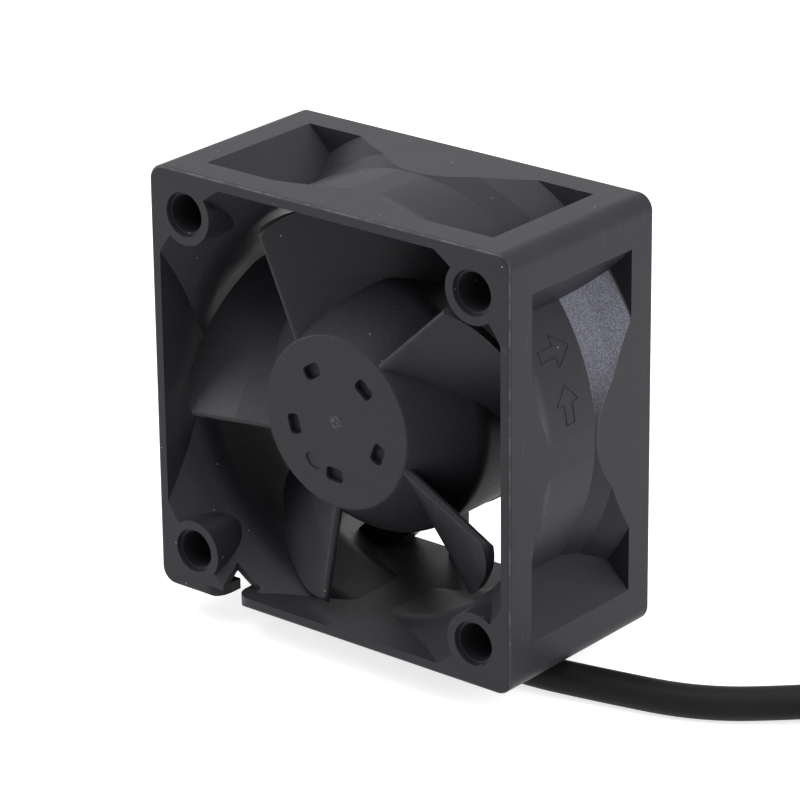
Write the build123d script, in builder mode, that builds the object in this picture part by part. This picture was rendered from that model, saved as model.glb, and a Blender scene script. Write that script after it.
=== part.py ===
from build123d import *
import os
from math import cos, hypot, pi, radians, sin, sqrt, tan

os.makedirs("parts", exist_ok=True)

# A 40 mm axial cooling fan, 20 mm deep. The fan axis is the Y axis: the inlet face
# lies on Y = 0, air moves towards +Y, +X is right and +Z is up. Millimetres.

# Frame: square outline, four screw holes, walls and flanges
frame_width = 40.0
frame_depth = 20.0
corner_radius = 1.5
rim_round = 0.3
side_wall = 1.0
front_flange = 3.0
rear_flange = 3.1
hole_spacing = 32.0
hole_diameter = 3.5
hole_step = 0.3
hole_step_depth = 0.4
boss_wall = 1.1

# Air path: inlet flare, throat and outlet cone
flare_depth = 4.9
flare_height = 3.35
flare_blend = 4.0
outlet_cone_depth = 7.6
outlet_cone_height = 3.5
outlet_blend = 3.0

# Outside of the shroud, between the flanges
shroud_front_end = 5.8
shroud_flare_height = 2.15
shroud_step_depth = 11.8
shroud_step = 0.12
shroud_cone_height = 2.4

# Lead notch in the lower edge of the inlet flange
notch_centre = -12.3
notch_throat = 1.8
notch_left_curve = 1.7
notch_right_curve = 2.0
notch_curve_depth = 2.0
window_left = -12.6
window_right = -9.9
window_depth = 2.0
undercut_left = -14.8
undercut_height = 2.5
undercut_start = 0.6
flare_shell = 0.65

# Impeller
tip_gap = 0.5
hub_radius = 12.0
hub_nose_radius = 7.9
hub_front = 1.2
hub_shoulder = 6.9
hub_to_base = 0.5
hub_wall = 0.9
hub_face_wall = 1.1
blade_count = 5
blade_angle = 26.5
blade_thickness = 0.9
blade_tip_thickness = 0.75
blade_camber = 1.0
blade_tip_round = 2.4
root_lead = 3.3
root_trail = 6.4
root_front = 1.7
root_to_hub_end = 1.6
tip_lead = 7.1
tip_trail = 6.9
tip_front = 1.9
tip_to_hub_end = 4.2
pocket_circle = 4.95
pocket_first_angle = 50.7
pocket_width = 1.3
pocket_length = 1.9
pocket_depth = 0.6
ejector_angle = -122.3
ejector_depth = 0.12

# Rotor inside the hub
yoke_wall = 0.6
yoke_front = 7.5
yoke_to_hub_end = 0.3
yoke_lip = 1.9
magnet_wall = 1.15
magnet_gap_to_end = 0.2
shaft_diameter = 2.0
shaft_front = 2.7
shaft_inset = 1.7
bush_radius = 2.0
bush_front = 2.4
bush_end = 5.6
bush_boss_wall = 1.1
bush_boss_end = 5.2

# Ball bearings
bearing_outer_diameter = 5.0
bearing_width = 2.3
front_bearing = 7.0
bearing_inset = 2.5
ball_diameter = 0.8
ball_count = 7
race_clearance = 0.02
shoulder_height = 0.27
shield_thickness = 0.15
shield_gap = 0.08
cage_thickness = 0.34
cage_gap = 0.03

# Base, bearing tube and struts
base_radius = 12.1
base_wall = 0.8
base_floor = 1.4
base_depth = 5.0
base_recess = 0.3
base_rim = 1.3
tube_wall = 0.6
tube_front = 6.9
tube_ledge_radius = 1.9
tube_shoulder_length = 1.3
tube_shoulder_radius = 3.7
strut_count = 4
strut_width = 1.2
strut_depth = 1.5
strut_first_angle = -94.3
strut_lean = -4.3
lead_strut_width = 3.5
lead_strut_depth = 3.0
lead_strut_angle = -100.0
lead_strut_lean = 35.0
lead_channel_width = 2.6
lead_channel_depth = 1.7
channel_inset = 3.9
post_radius = 0.7
post_first_angle = 75.0

# Stator
air_gap = 0.3
core_front = 9.2
core_to_board = 2.1
pole_count = 4
neck_width = 2.6
shoe_thickness = 1.25
slot_opening = 1.6
core_ring = 0.9
insulator_thickness = 0.5
insulator_lip = 0.9
insulator_lip_height = 0.7
coil_thickness = 1.1
coil_start = 4.3
coil_end = 7.1
pin_radius = 0.25
pin_circle = 7.9
pin_stand = 0.5

# Circuit board and what is on it
board_gap = 0.7
board_to_floor = 2.5
board_thickness = 0.8
chip_length = 4.9
chip_width = 3.9
chip_height = 1.3
chip_place = 0.77219
sensor_width = 3.0
sensor_height = 1.2
sensor_thickness = 0.7
sensor_inset = 0.9
passive_length = 1.6
passive_width = 0.8
passive_height = 0.7

# Small rotor parts
spring_thickness = 0.15
spring_radius = 1.9
spring_bore = 0.05
washer_radius = 1.5
washer_thickness = 0.2
clip_radius = 1.6
clip_thickness = 0.2
clip_seat_radius = 0.8
plug_length = 1.0

# Leads and cord
wire_diameter = 0.8
wire_pitch = 0.86
wire_bend = 0.8
wire_slack = 0.1
inner_run_share = 0.45
end_run_share = 0.9
cord_diameter = 3.0
cord_gap = 0.1
turn_radius = 15.0
turn_pitch = 3.1
leg_length = 10.3
leg_sink = 0.08
tie_thickness = 0.3
tie_width = 2.6
tie_angle = -35.0
end_wire_length = 12.5
end_wire_angle = 80.0
end_wire_turn = 55.0
end_wire_spread = 7.0
tinned_length = 3.0
tinned_radius = 0.25

# Sizes that follow
half = frame_width / 2
inner_half = half - side_wall
throat_radius = inner_half + 0.1
mouth_radius = throat_radius + flare_height
outlet_radius = throat_radius + outlet_cone_height
shroud_radius = half + 0.05
boss_radius = hole_diameter / 2 + boss_wall
rib_offset = (boss_radius + 0.05) * sqrt(2)
tip_radius = inner_half - tip_gap
pocket_end = frame_depth - rear_flange
base_front = frame_depth - base_depth
base_inner = base_radius - base_wall
base_recess_radius = base_radius - base_rim
floor_front = frame_depth - base_floor
board_radius = base_inner - board_gap
board_front = floor_front - board_to_floor - board_thickness
tube_shoulder = board_front - tube_shoulder_length
hub_end = base_front - hub_to_base
root_rear = hub_end - root_to_hub_end
tip_rear = hub_end - tip_to_hub_end
yoke_length = hub_end - yoke_to_hub_end - yoke_front
shaft_end = frame_depth - shaft_inset
rear_bearing = frame_depth - bearing_inset - bearing_width
core_length = board_front - core_to_board - core_front
yoke_outer = hub_radius - hub_wall
yoke_inner = yoke_outer - yoke_wall
magnet_inner = yoke_inner - magnet_wall
core_radius = magnet_inner - air_gap
bearing_radius = bearing_outer_diameter / 2
shaft_radius = shaft_diameter / 2
tube_radius = bearing_radius + tube_wall
ball_circle = (bearing_radius + shaft_radius) / 2
board_rear = board_front + board_thickness
margin = 1.0


def across(depth):
    """The plane across the fan axis at this depth behind the inlet face, seen from the inlet."""
    return Plane.XZ.offset(-depth)


def polar(radius, angle):
    """A point of such a plane at this radius and angle about the fan axis."""
    return (radius * cos(radians(angle)), radius * sin(radians(angle)))


def corner_radii(points, end_share):
    """The largest arc that each corner's two runs allow; a run at an end gives this share."""
    runs = [after - before for before, after in zip(points, points[1:])]
    shares = [end_share] + [inner_run_share] * (len(runs) - 2) + [end_share]
    rooms = [run.length * share for run, share in zip(runs, shares)]
    turns = [radians(run_in.get_angle(run_out)) for run_in, run_out in zip(runs, runs[1:])]
    return [min(rooms[i], rooms[i + 1]) / tan(turn / 2) for i, turn in enumerate(turns)]


def finish(piece, label):
    """Names a piece and writes it to its own file."""
    piece.part.label = label
    export_step(piece.part, f"parts/{label}.step")


# Frame
# One moulding: a square tube with an inlet flange and an outlet flange, a round
# throat, four screw tubes in diagonal ribs, and a motor base held by struts.

with BuildPart() as air_path:
    with BuildSketch(Plane.XY):
        flare_slope = flare_height / flare_depth
        cone_slope = outlet_cone_height / outlet_cone_depth
        cone_front = frame_depth - outlet_cone_depth
        with BuildLine():
            FilletPolyline(
                (mouth_radius + margin * flare_slope, -margin),
                (throat_radius, flare_depth),
                (throat_radius, cone_front),
                (outlet_radius + margin * cone_slope, frame_depth + margin),
                radius=[flare_blend, outlet_blend],
            )
            Polyline(
                (outlet_radius + margin * cone_slope, frame_depth + margin),
                (0, frame_depth + margin),
                (0, -margin),
                (mouth_radius + margin * flare_slope, -margin),
            )
        make_face()
    revolve(axis=Axis.Y)
    with BuildSketch(across(-margin)):
        Rectangle(2 * inner_half, 2 * inner_half)
    extrude(amount=-(frame_depth + 2 * margin), mode=Mode.INTERSECT)

with BuildPart() as side_pockets:
    with BuildSketch(across(front_flange)):
        reach = half + margin
        with PolarLocations(0, 4):
            Polygon(
                (rib_offset, 0),
                (reach, reach - rib_offset),
                (reach, rib_offset - reach),
                align=None,
            )
    extrude(amount=-(pocket_end - front_flange))
    with BuildSketch(Plane.XY):
        with BuildLine():
            flare_foot = (shroud_radius + shroud_flare_height, front_flange - margin / 4)
            front_end = (shroud_radius, shroud_front_end)
            step_outer = (shroud_radius, shroud_step_depth)
            step_inner = (shroud_radius - shroud_step, shroud_step_depth)
            cone_knee = (shroud_radius + shroud_cone_height / 4, (shroud_step_depth + pocket_end) / 2)
            cone_foot = (shroud_radius + shroud_cone_height, pocket_end + margin / 4)
            TangentArc(front_end, flare_foot, tangent=(0, -1))
            Line(front_end, step_outer)
            Line(step_outer, step_inner)
            Line(step_inner, cone_knee)
            Line(cone_knee, cone_foot)
            Polyline(cone_foot, (0, cone_foot[1]), (0, flare_foot[1]), flare_foot)
        make_face()
    revolve(axis=Axis.Y, mode=Mode.SUBTRACT)

# Four slender struts, and a wide one beside the lowest that carries the leads
lead_foot = polar(base_radius, lead_strut_angle)
lead_heading = lead_strut_angle - lead_strut_lean
lead_run = (cos(radians(lead_heading)), sin(radians(lead_heading)))
strut_places = [(lead_foot, lead_heading, lead_strut_width, lead_strut_depth)]
for index in range(strut_count):
    start_angle = strut_first_angle + index * 360 / strut_count
    foot = polar(base_radius, start_angle)
    strut_places.append((foot, start_angle - strut_lean, strut_width, strut_depth))

with BuildPart() as struts:
    for foot, heading, width, depth in strut_places:
        with BuildSketch(across(frame_depth - depth)):
            with Locations(Location((foot[0], foot[1]), heading)):
                with Locations((-base_wall, 0)):
                    Rectangle(half, width, align=(Align.MIN, Align.CENTER))
        extrude(amount=-depth)
    with BuildSketch(across(0)):
        Rectangle(2 * half - side_wall, 2 * half - side_wall)
    extrude(amount=-frame_depth, mode=Mode.INTERSECT)

with BuildPart() as motor_base:
    with BuildSketch(Plane.XY):
        with BuildLine():
            Polyline(
                (bearing_radius, frame_depth),
                (bearing_radius, rear_bearing),
                (tube_ledge_radius, rear_bearing),
                (tube_ledge_radius, front_bearing + bearing_width),
                (bearing_radius, front_bearing + bearing_width),
                (bearing_radius, tube_front),
                (tube_radius, tube_front),
                (tube_radius, tube_shoulder),
                (tube_shoulder_radius, tube_shoulder),
                (tube_shoulder_radius, floor_front),
                (base_inner, floor_front),
                (base_inner, base_front),
                (base_radius, base_front),
                (base_radius, frame_depth),
                (base_recess_radius, frame_depth),
                (base_recess_radius, frame_depth - base_recess),
                (tube_radius + base_recess, frame_depth - base_recess),
                (tube_radius + base_recess, frame_depth),
                close=True,
            )
        make_face()
    revolve(axis=Axis.Y)
    with BuildSketch(across(board_rear)):
        with PolarLocations(board_radius - post_radius, 3, start_angle=post_first_angle):
            Circle(post_radius)
    extrude(amount=-(floor_front - board_rear))

# Lead notch in the lower inlet edge: a funnel through the wall, a window in the flare
# above it, and the hollow behind the flare's shell that joins both to the side pocket
notch_left = notch_centre - notch_throat / 2
notch_right = notch_centre + notch_throat / 2
mouth_left = notch_left - notch_left_curve
mouth_right = notch_right + notch_right_curve

with BuildPart() as flare_hollow:
    with BuildSketch(Plane.XY):
        shell_front = mouth_radius - undercut_start * flare_slope + flare_shell
        shell_rear = mouth_radius - (front_flange + race_clearance) * flare_slope + flare_shell
        Polygon(
            (shell_front, undercut_start),
            (2 * half, undercut_start),
            (2 * half, front_flange + race_clearance),
            (shell_rear, front_flange + race_clearance),
            align=None,
        )
    revolve(axis=Axis.Y)
    with BuildSketch(across(0)):
        with Locations((undercut_left, -inner_half)):
            Rectangle(window_right - undercut_left, undercut_height, align=(Align.MIN, Align.MIN))
    extrude(amount=-frame_depth, mode=Mode.INTERSECT)

with BuildPart() as lead_notch:
    with BuildSketch(Plane.XY.offset(-half - margin)):
        with BuildLine():
            Polyline((mouth_left, 0), (mouth_left, -margin), (mouth_right, -margin), (mouth_right, 0))
            Bezier((mouth_right, 0), (notch_right, 0), (notch_right, notch_curve_depth))
            Polyline(
                (notch_right, notch_curve_depth),
                (notch_right, front_flange + margin / 4),
                (notch_left, front_flange + margin / 4),
                (notch_left, notch_curve_depth),
            )
            Bezier((notch_left, notch_curve_depth), (notch_left, 0), (mouth_left, 0))
        make_face()
    extrude(amount=margin + side_wall)
    with BuildSketch(Plane.XY.offset(-inner_half)):
        with Locations((window_left, -margin)):
            Rectangle(window_right - window_left, window_depth + margin, align=(Align.MIN, Align.MIN))
    extrude(amount=undercut_height)
    add(flare_hollow.part)

with BuildPart() as frame:
    with BuildSketch(across(0)):
        RectangleRounded(frame_width, frame_width, corner_radius)
    extrude(amount=-frame_depth)
    fillet(frame.faces().sort_by(Axis.Y)[0].edges(), radius=rim_round)
    fillet(frame.faces().sort_by(Axis.Y)[-1].edges(), radius=rim_round)
    add(side_pockets.part, mode=Mode.SUBTRACT)
    add(air_path.part, mode=Mode.SUBTRACT)
    add(lead_notch.part, mode=Mode.SUBTRACT)
    with BuildSketch(across(0)):
        with GridLocations(hole_spacing, hole_spacing, 2, 2):
            Circle(boss_radius)
    extrude(amount=-frame_depth)
    add(struts.part)
    add(motor_base.part)
    # Screw holes with a shallow step at both faces
    with BuildSketch(across(0)):
        with GridLocations(hole_spacing, hole_spacing, 2, 2):
            Circle(hole_diameter / 2)
    extrude(amount=-frame_depth, mode=Mode.SUBTRACT)
    for face_start in (0, frame_depth - hole_step_depth):
        with BuildSketch(across(face_start)):
            with GridLocations(hole_spacing, hole_spacing, 2, 2):
                Circle(hole_diameter / 2 + hole_step)
        extrude(amount=-hole_step_depth, mode=Mode.SUBTRACT)
    # Lead channel: through the base rim, along the lead strut and out at the lower edge
    with BuildSketch(across(frame_depth - lead_channel_depth)):
        with Locations(Location((lead_foot[0], lead_foot[1]), lead_heading)):
            with Locations((-channel_inset, 0)):
                Rectangle(half, lead_channel_width, align=(Align.MIN, Align.CENTER))
    extrude(amount=-(lead_channel_depth + margin), mode=Mode.SUBTRACT)
finish(frame, "frame")

# Rear plug
# A small moulded plug that closes the bearing tube behind the shaft.
with BuildPart() as rear_plug:
    with BuildSketch(Plane.XY):
        with BuildLine():
            Polyline(
                (0, frame_depth - plug_length),
                (bearing_radius, frame_depth - plug_length),
                (bearing_radius, frame_depth - base_recess),
                (bearing_radius / 2, frame_depth - base_recess),
                (0, frame_depth - 2 * base_recess),
                close=True,
            )
        make_face()
    revolve(axis=Axis.Y)
finish(rear_plug, "rear_plug")

# Impeller
# One moulding: a cup-shaped hub with a coned nose and five leaning, cambered blades.
root_section = (hub_nose_radius - margin, root_lead, root_trail, root_front, root_rear, blade_thickness)
tip_section = (tip_radius + margin, tip_lead, tip_trail, tip_front, tip_rear, blade_tip_thickness)
blade_outlines = []
for radius, lead, trail, front, rear, thickness in (root_section, tip_section):
    crown = ((front + rear) / 2 - blade_camber, (lead - trail) / 2)
    camber_line = ThreePointArc((front, lead), crown, (rear, -trail))
    blade_outlines.append((radius, camber_line, thickness))

with BuildPart() as blade:
    for radius, camber_line, thickness in blade_outlines:
        with BuildSketch(Plane.YZ.offset(radius)):
            SlotArc(camber_line, height=thickness)
    loft(ruled=True)

with BuildPart() as impeller:
    for index in range(blade_count):
        add(blade.part, rotation=(0, -(blade_angle + index * 360 / blade_count), 0))
    # The blades' swept outline, with rounded outer corners
    with BuildSketch(Plane.XY):
        sweep_front = tip_front - blade_tip_thickness
        sweep_rear = tip_rear + blade_tip_thickness
        with BuildLine():
            FilletPolyline(
                (0, root_front - blade_thickness),
                (hub_nose_radius, root_front - blade_thickness),
                (tip_radius, sweep_front),
                (tip_radius, sweep_rear),
                (hub_radius, root_rear),
                (0, root_rear),
                radius=[blade_tip_round / 4, blade_tip_round, blade_tip_round, blade_tip_round / 4],
            )
            Line((0, root_rear), (0, root_front - blade_thickness))
        make_face()
    revolve(axis=Axis.Y, mode=Mode.INTERSECT)
    # Hub cup: the cavity first, so that no blade root stays inside it
    cone_run = hub_shoulder - hub_front
    cone_rise = hub_radius - hub_nose_radius
    cone_length = hypot(cone_run, cone_rise)
    cavity_nose = hub_nose_radius - hub_wall * (cone_length - cone_rise * hub_face_wall / hub_wall) / cone_run
    cavity_shoulder = hub_shoulder + hub_wall * (cone_length - cone_run) / cone_rise
    cavity = [
        (0, hub_front + hub_face_wall),
        (cavity_nose, hub_front + hub_face_wall),
        (yoke_outer, cavity_shoulder),
        (yoke_outer, hub_end),
    ]
    with BuildSketch(Plane.XY):
        Polygon(*cavity, (0, hub_end), align=None)
    revolve(axis=Axis.Y, mode=Mode.SUBTRACT)
    with BuildSketch(Plane.XY):
        with BuildLine():
            FilletPolyline(
                (0, hub_front),
                (hub_nose_radius, hub_front),
                (hub_radius, hub_shoulder),
                (hub_radius, hub_end),
                radius=[rim_round, 8 * rim_round],
            )
            Polyline((hub_radius, hub_end), *reversed(cavity), (0, hub_front))
        make_face()
    revolve(axis=Axis.Y)
    # Boss that holds the shaft bush
    with BuildSketch(across(hub_front + hub_face_wall / 2)):
        Circle(bush_radius + bush_boss_wall)
    extrude(amount=-(bush_boss_end - hub_front - hub_face_wall / 2))
    with BuildSketch(across(bush_front)):
        Circle(bush_radius)
    extrude(amount=-(bush_boss_end - bush_front), mode=Mode.SUBTRACT)
    # Balance pockets and the mark left by an ejector pin
    with BuildSketch(across(hub_front)):
        with PolarLocations(pocket_circle, blade_count, start_angle=pocket_first_angle):
            RectangleRounded(pocket_width, pocket_length, pocket_width / 3)
    extrude(amount=-pocket_depth, mode=Mode.SUBTRACT)
    with BuildSketch(across(hub_front)):
        with PolarLocations(pocket_circle, 1, start_angle=ejector_angle):
            Ellipse(pocket_width / 2, pocket_length / 2)
    extrude(amount=-ejector_depth, mode=Mode.SUBTRACT)
finish(impeller, "impeller")

# Shaft bush, shaft and the parts that turn with it
with BuildPart() as shaft_bush:
    with BuildSketch(across(bush_front)):
        Circle(bush_radius)
        Circle(shaft_radius, mode=Mode.SUBTRACT)
    extrude(amount=-(bush_end - bush_front))
finish(shaft_bush, "shaft_bush")

washer_front = rear_bearing + bearing_width
clip_front = washer_front + washer_thickness + shield_gap / 2
with BuildPart() as shaft:
    with BuildSketch(Plane.XY):
        with BuildLine():
            Polyline(
                (0, shaft_front),
                (shaft_radius, shaft_front),
                (shaft_radius, clip_front - race_clearance),
                (clip_seat_radius, clip_front - race_clearance),
                (clip_seat_radius, clip_front + clip_thickness + race_clearance),
                (shaft_radius, clip_front + clip_thickness + race_clearance),
                (shaft_radius, shaft_end),
                (0, shaft_end),
                close=True,
            )
        make_face()
    revolve(axis=Axis.Y)
    chamfer(shaft.edges().sort_by(Axis.Y)[0], length=shaft_radius / 8)
    chamfer(shaft.edges().sort_by(Axis.Y)[-1], length=shaft_radius / 8)
finish(shaft, "shaft")

with BuildPart() as rotor_yoke:
    with BuildSketch(Plane.XY):
        Polygon(
            (yoke_outer, yoke_front),
            (yoke_outer, yoke_front + yoke_length),
            (yoke_inner, yoke_front + yoke_length),
            (yoke_inner, yoke_front + yoke_wall),
            (yoke_inner - yoke_lip, yoke_front + yoke_wall),
            (yoke_inner - yoke_lip, yoke_front),
            align=None,
        )
    revolve(axis=Axis.Y)
finish(rotor_yoke, "rotor_yoke")

with BuildPart() as rotor_magnet:
    with BuildSketch(across(yoke_front + yoke_wall)):
        Circle(yoke_inner)
        Circle(magnet_inner, mode=Mode.SUBTRACT)
    extrude(amount=-(yoke_length - yoke_wall - magnet_gap_to_end))
finish(rotor_magnet, "rotor_magnet")

# Two dished washers, back to back, press the front bearing's inner ring
with BuildPart() as preload_spring:
    spring_middle = (bush_end + front_bearing) / 2
    spring_bore_radius = shaft_radius + spring_bore
    with BuildSketch(Plane.XY):
        Polygon(
            (spring_bore_radius, bush_end),
            (spring_bore_radius + spring_thickness, bush_end),
            (spring_radius, spring_middle - spring_thickness / 2),
            (spring_radius, spring_middle + spring_thickness / 2),
            (spring_bore_radius + spring_thickness, front_bearing),
            (spring_bore_radius, front_bearing),
            (spring_radius - 2 * spring_thickness, spring_middle),
            align=None,
        )
    revolve(axis=Axis.Y)
finish(preload_spring, "preload_spring")

with BuildPart() as thrust_washer:
    with BuildSketch(across(washer_front)):
        Circle(washer_radius)
        Circle(shaft_radius, mode=Mode.SUBTRACT)
    extrude(amount=-washer_thickness)
finish(thrust_washer, "thrust_washer")

with BuildPart() as retaining_clip:
    with BuildSketch(across(clip_front)):
        Circle(clip_radius)
        Circle(clip_seat_radius, mode=Mode.SUBTRACT)
        with Locations((0, -clip_radius)):
            Rectangle(clip_seat_radius * 1.5, clip_radius * 2, mode=Mode.SUBTRACT)
    extrude(amount=-clip_thickness)
finish(retaining_clip, "retaining_clip")

# Ball bearings
# Two like bearings: an outer ring pressed into the tube, an inner ring on the shaft,
# balls in a cage between them, and a thin shield at each side.
groove_radius = ball_diameter / 2 + race_clearance
outer_shoulder = ball_circle + shoulder_height
inner_shoulder = ball_circle - shoulder_height
shield_seat = outer_shoulder + shield_thickness / 2
for place, bearing_front in (("front", front_bearing), ("rear", rear_bearing)):
    bearing_middle = bearing_front + bearing_width / 2
    bearing_rear = bearing_front + bearing_width

    with BuildPart() as outer_ring:
        with BuildSketch(Plane.XY):
            with Locations(((outer_shoulder + bearing_radius) / 2, bearing_middle)):
                Rectangle(bearing_radius - outer_shoulder, bearing_width)
            with GridLocations(0, bearing_width - shield_thickness, 1, 2):
                with Locations((shield_seat / 2, bearing_middle)):
                    Rectangle(shield_seat, shield_thickness, mode=Mode.SUBTRACT)
            with Locations((ball_circle, bearing_middle)):
                Circle(groove_radius, mode=Mode.SUBTRACT)
        revolve(axis=Axis.Y)
    finish(outer_ring, f"{place}_outer_ring")

    with BuildPart() as inner_ring:
        with BuildSketch(Plane.XY):
            with Locations(((shaft_radius + inner_shoulder) / 2, bearing_middle)):
                Rectangle(inner_shoulder - shaft_radius, bearing_width)
            with Locations((ball_circle, bearing_middle)):
                Circle(groove_radius, mode=Mode.SUBTRACT)
        revolve(axis=Axis.Y)
    finish(inner_ring, f"{place}_inner_ring")

    with BuildPart() as shields:
        for shield_front in (bearing_front, bearing_rear - shield_thickness):
            with BuildSketch(across(shield_front)):
                Circle(shield_seat)
                Circle(inner_shoulder + shield_gap, mode=Mode.SUBTRACT)
            extrude(amount=-shield_thickness)
    finish(shields, f"{place}_shields")

    with BuildPart() as balls:
        with Locations(across(bearing_middle)):
            with PolarLocations(ball_circle, ball_count):
                Sphere(ball_diameter / 2)
    finish(balls, f"{place}_balls")

    with BuildPart() as cage:
        with BuildSketch(across(bearing_middle - bearing_width * 0.3)):
            Circle(ball_circle + cage_thickness / 2)
            Circle(ball_circle - cage_thickness / 2, mode=Mode.SUBTRACT)
        extrude(amount=-bearing_width * 0.4)
        with Locations(across(bearing_middle)):
            with PolarLocations(ball_circle, ball_count):
                Sphere(ball_diameter / 2 + cage_gap, mode=Mode.SUBTRACT)
    finish(cage, f"{place}_cage")

# Stator
# A laminated core with four poles, an insulator on each side and a coil on each pole.
core_rear = core_front + core_length
shoe_inner = core_radius - shoe_thickness
ring_outer = tube_radius + core_ring

with BuildPart() as stator_core:
    with BuildSketch(across(core_front)):
        Circle(core_radius)
        Circle(shoe_inner, mode=Mode.SUBTRACT)
        Circle(ring_outer)
        with PolarLocations(0, pole_count):
            Rectangle(core_radius - shoe_thickness / 2, neck_width, align=(Align.MIN, Align.CENTER))
        with PolarLocations(core_radius, pole_count, start_angle=180 / pole_count):
            Rectangle(3 * shoe_thickness, slot_opening, mode=Mode.SUBTRACT)
        Circle(tube_radius, mode=Mode.SUBTRACT)
    extrude(amount=-core_length)
finish(stator_core, "stator_core")

for place, plate_front, lip_front in (
    ("front", core_front - insulator_thickness, core_front - insulator_thickness - insulator_lip_height),
    ("rear", core_rear, core_rear + insulator_thickness),
):
    with BuildPart() as insulator:
        with BuildSketch(across(plate_front)):
            Circle(core_radius - insulator_lip / 3)
            Circle(shoe_inner - insulator_lip / 3, mode=Mode.SUBTRACT)
            Circle(ring_outer)
            with PolarLocations(0, pole_count):
                Rectangle(core_radius - shoe_thickness / 2, neck_width, align=(Align.MIN, Align.CENTER))
            Circle(tube_radius, mode=Mode.SUBTRACT)
        extrude(amount=-insulator_thickness)
        with BuildSketch(across(lip_front)):
            Circle(shoe_inner + insulator_lip / 2)
            Circle(shoe_inner - insulator_lip / 3, mode=Mode.SUBTRACT)
        extrude(amount=-insulator_lip_height)
        if place == "rear":
            with BuildSketch(across(plate_front)):
                with PolarLocations(pin_circle, 3, start_angle=180 / pole_count):
                    Circle(pin_radius)
            extrude(amount=-(insulator_thickness + insulator_lip_height), mode=Mode.SUBTRACT)
    finish(insulator, f"{place}_insulator")

coil_inner_width = neck_width + 2 * race_clearance
coil_inner_length = core_length + 2 * insulator_thickness + 2 * race_clearance
with BuildPart() as pole_coil:
    with BuildSketch(Plane.YZ.offset(coil_start)):
        with Locations((core_front + core_length / 2, 0)):
            RectangleRounded(
                coil_inner_length + 2 * coil_thickness,
                coil_inner_width + 2 * coil_thickness,
                coil_thickness * 0.9,
            )
            Rectangle(coil_inner_length, coil_inner_width, mode=Mode.SUBTRACT)
    extrude(amount=coil_end - coil_start)

with BuildPart() as stator_coils:
    for index in range(pole_count):
        add(pole_coil.part, rotation=(0, index * 360 / pole_count, 0))
finish(stator_coils, "stator_coils")

with BuildPart() as winding_pins:
    with BuildSketch(across(core_rear)):
        with PolarLocations(pin_circle, 3, start_angle=180 / pole_count):
            Circle(pin_radius)
    extrude(amount=-(board_rear + pin_stand - core_rear))
finish(winding_pins, "winding_pins")

# Circuit board behind the stator, with its parts
lead_pads = []
for index in range(3):
    shift = (index - 1) * wire_pitch
    along = wire_diameter / 2 + wire_slack - channel_inset
    lead_pads.append(
        (
            lead_foot[0] + lead_run[0] * along - lead_run[1] * shift,
            lead_foot[1] + lead_run[1] * along + lead_run[0] * shift,
        )
    )

with BuildPart() as circuit_board:
    with BuildSketch(across(board_front)):
        Circle(board_radius)
        Circle(tube_shoulder_radius, mode=Mode.SUBTRACT)
        with PolarLocations(pin_circle, 3, start_angle=180 / pole_count):
            Circle(pin_radius + race_clearance, mode=Mode.SUBTRACT)
    extrude(amount=-board_thickness)
finish(circuit_board, "circuit_board")

with BuildPart() as hall_sensor:
    with BuildSketch(across(board_front - sensor_thickness)):
        with Locations(polar(board_radius - sensor_inset, 90)):
            Rectangle(sensor_width, sensor_height)
    extrude(amount=-sensor_thickness)
finish(hall_sensor, "hall_sensor")

# The chip lies between the tube's shoulder and the post beside it
post_edge = polar(board_radius - post_radius, post_first_angle)[1] - post_radius
chip_room = post_edge - tube_shoulder_radius - chip_width
with BuildPart() as driver_chip:
    with BuildSketch(across(board_rear)):
        with Locations((0, tube_shoulder_radius + chip_room * chip_place + chip_width / 2)):
            Rectangle(chip_length, chip_width)
    extrude(amount=-chip_height)
    chamfer(driver_chip.edges().group_by(Axis.Y)[-1], length=chip_height / 8)
finish(driver_chip, "driver_chip")

with BuildPart() as chip_capacitors:
    with BuildSketch(across(board_rear)):
        with PolarLocations(6.6, 2, start_angle=185, angular_range=60, rotate=False):
            Rectangle(passive_width, passive_length)
    extrude(amount=-passive_height)
finish(chip_capacitors, "chip_capacitors")

with BuildPart() as chip_resistors:
    with BuildSketch(across(board_rear)):
        with PolarLocations(6.6, 2, start_angle=330, angular_range=60, rotate=False):
            Rectangle(passive_width, passive_length)
    extrude(amount=-passive_height / 2)
finish(chip_resistors, "chip_resistors")

# The level where the cord lies, and its coil, which a tie lifts a little
wire_radius = wire_diameter / 2
cord_radius = cord_diameter / 2
cord_level = -half - cord_gap - cord_radius
coil_level = cord_level + tie_thickness

# The cord's route, from the jacket's start under the frame towards the coil: a list
# chosen by hand. Its last two points lie on the coil's level.
cord_route = [
    (-9.0, 17.0),
    (-0.8, 11.7),
    (6.6, 9.3),
    (14.2, 8.0),
    (22.5, 9.55),
    (31.6, 11.7),
    (38.7, 17.1),
    (41.7, 20.72),
]
cord_points = [Vector(x, y, cord_level) for x, y in cord_route[:-2]]
cord_points += [Vector(x, y, coil_level) for x, y in cord_route[-2:]]

# Lead wires
# Three thin wires: soldered to the board, laid in the lead strut's channel, out at the
# lower edge of the outlet flange and into the cord's jacket.
channel_level = frame_depth - lead_channel_depth + wire_radius + wire_slack
jacket_start = cord_points[0]
jacket_heading = (cord_points[1] - jacket_start).normalized()
jacket_side = Vector(-jacket_heading.Y, jacket_heading.X, 0)

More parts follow.
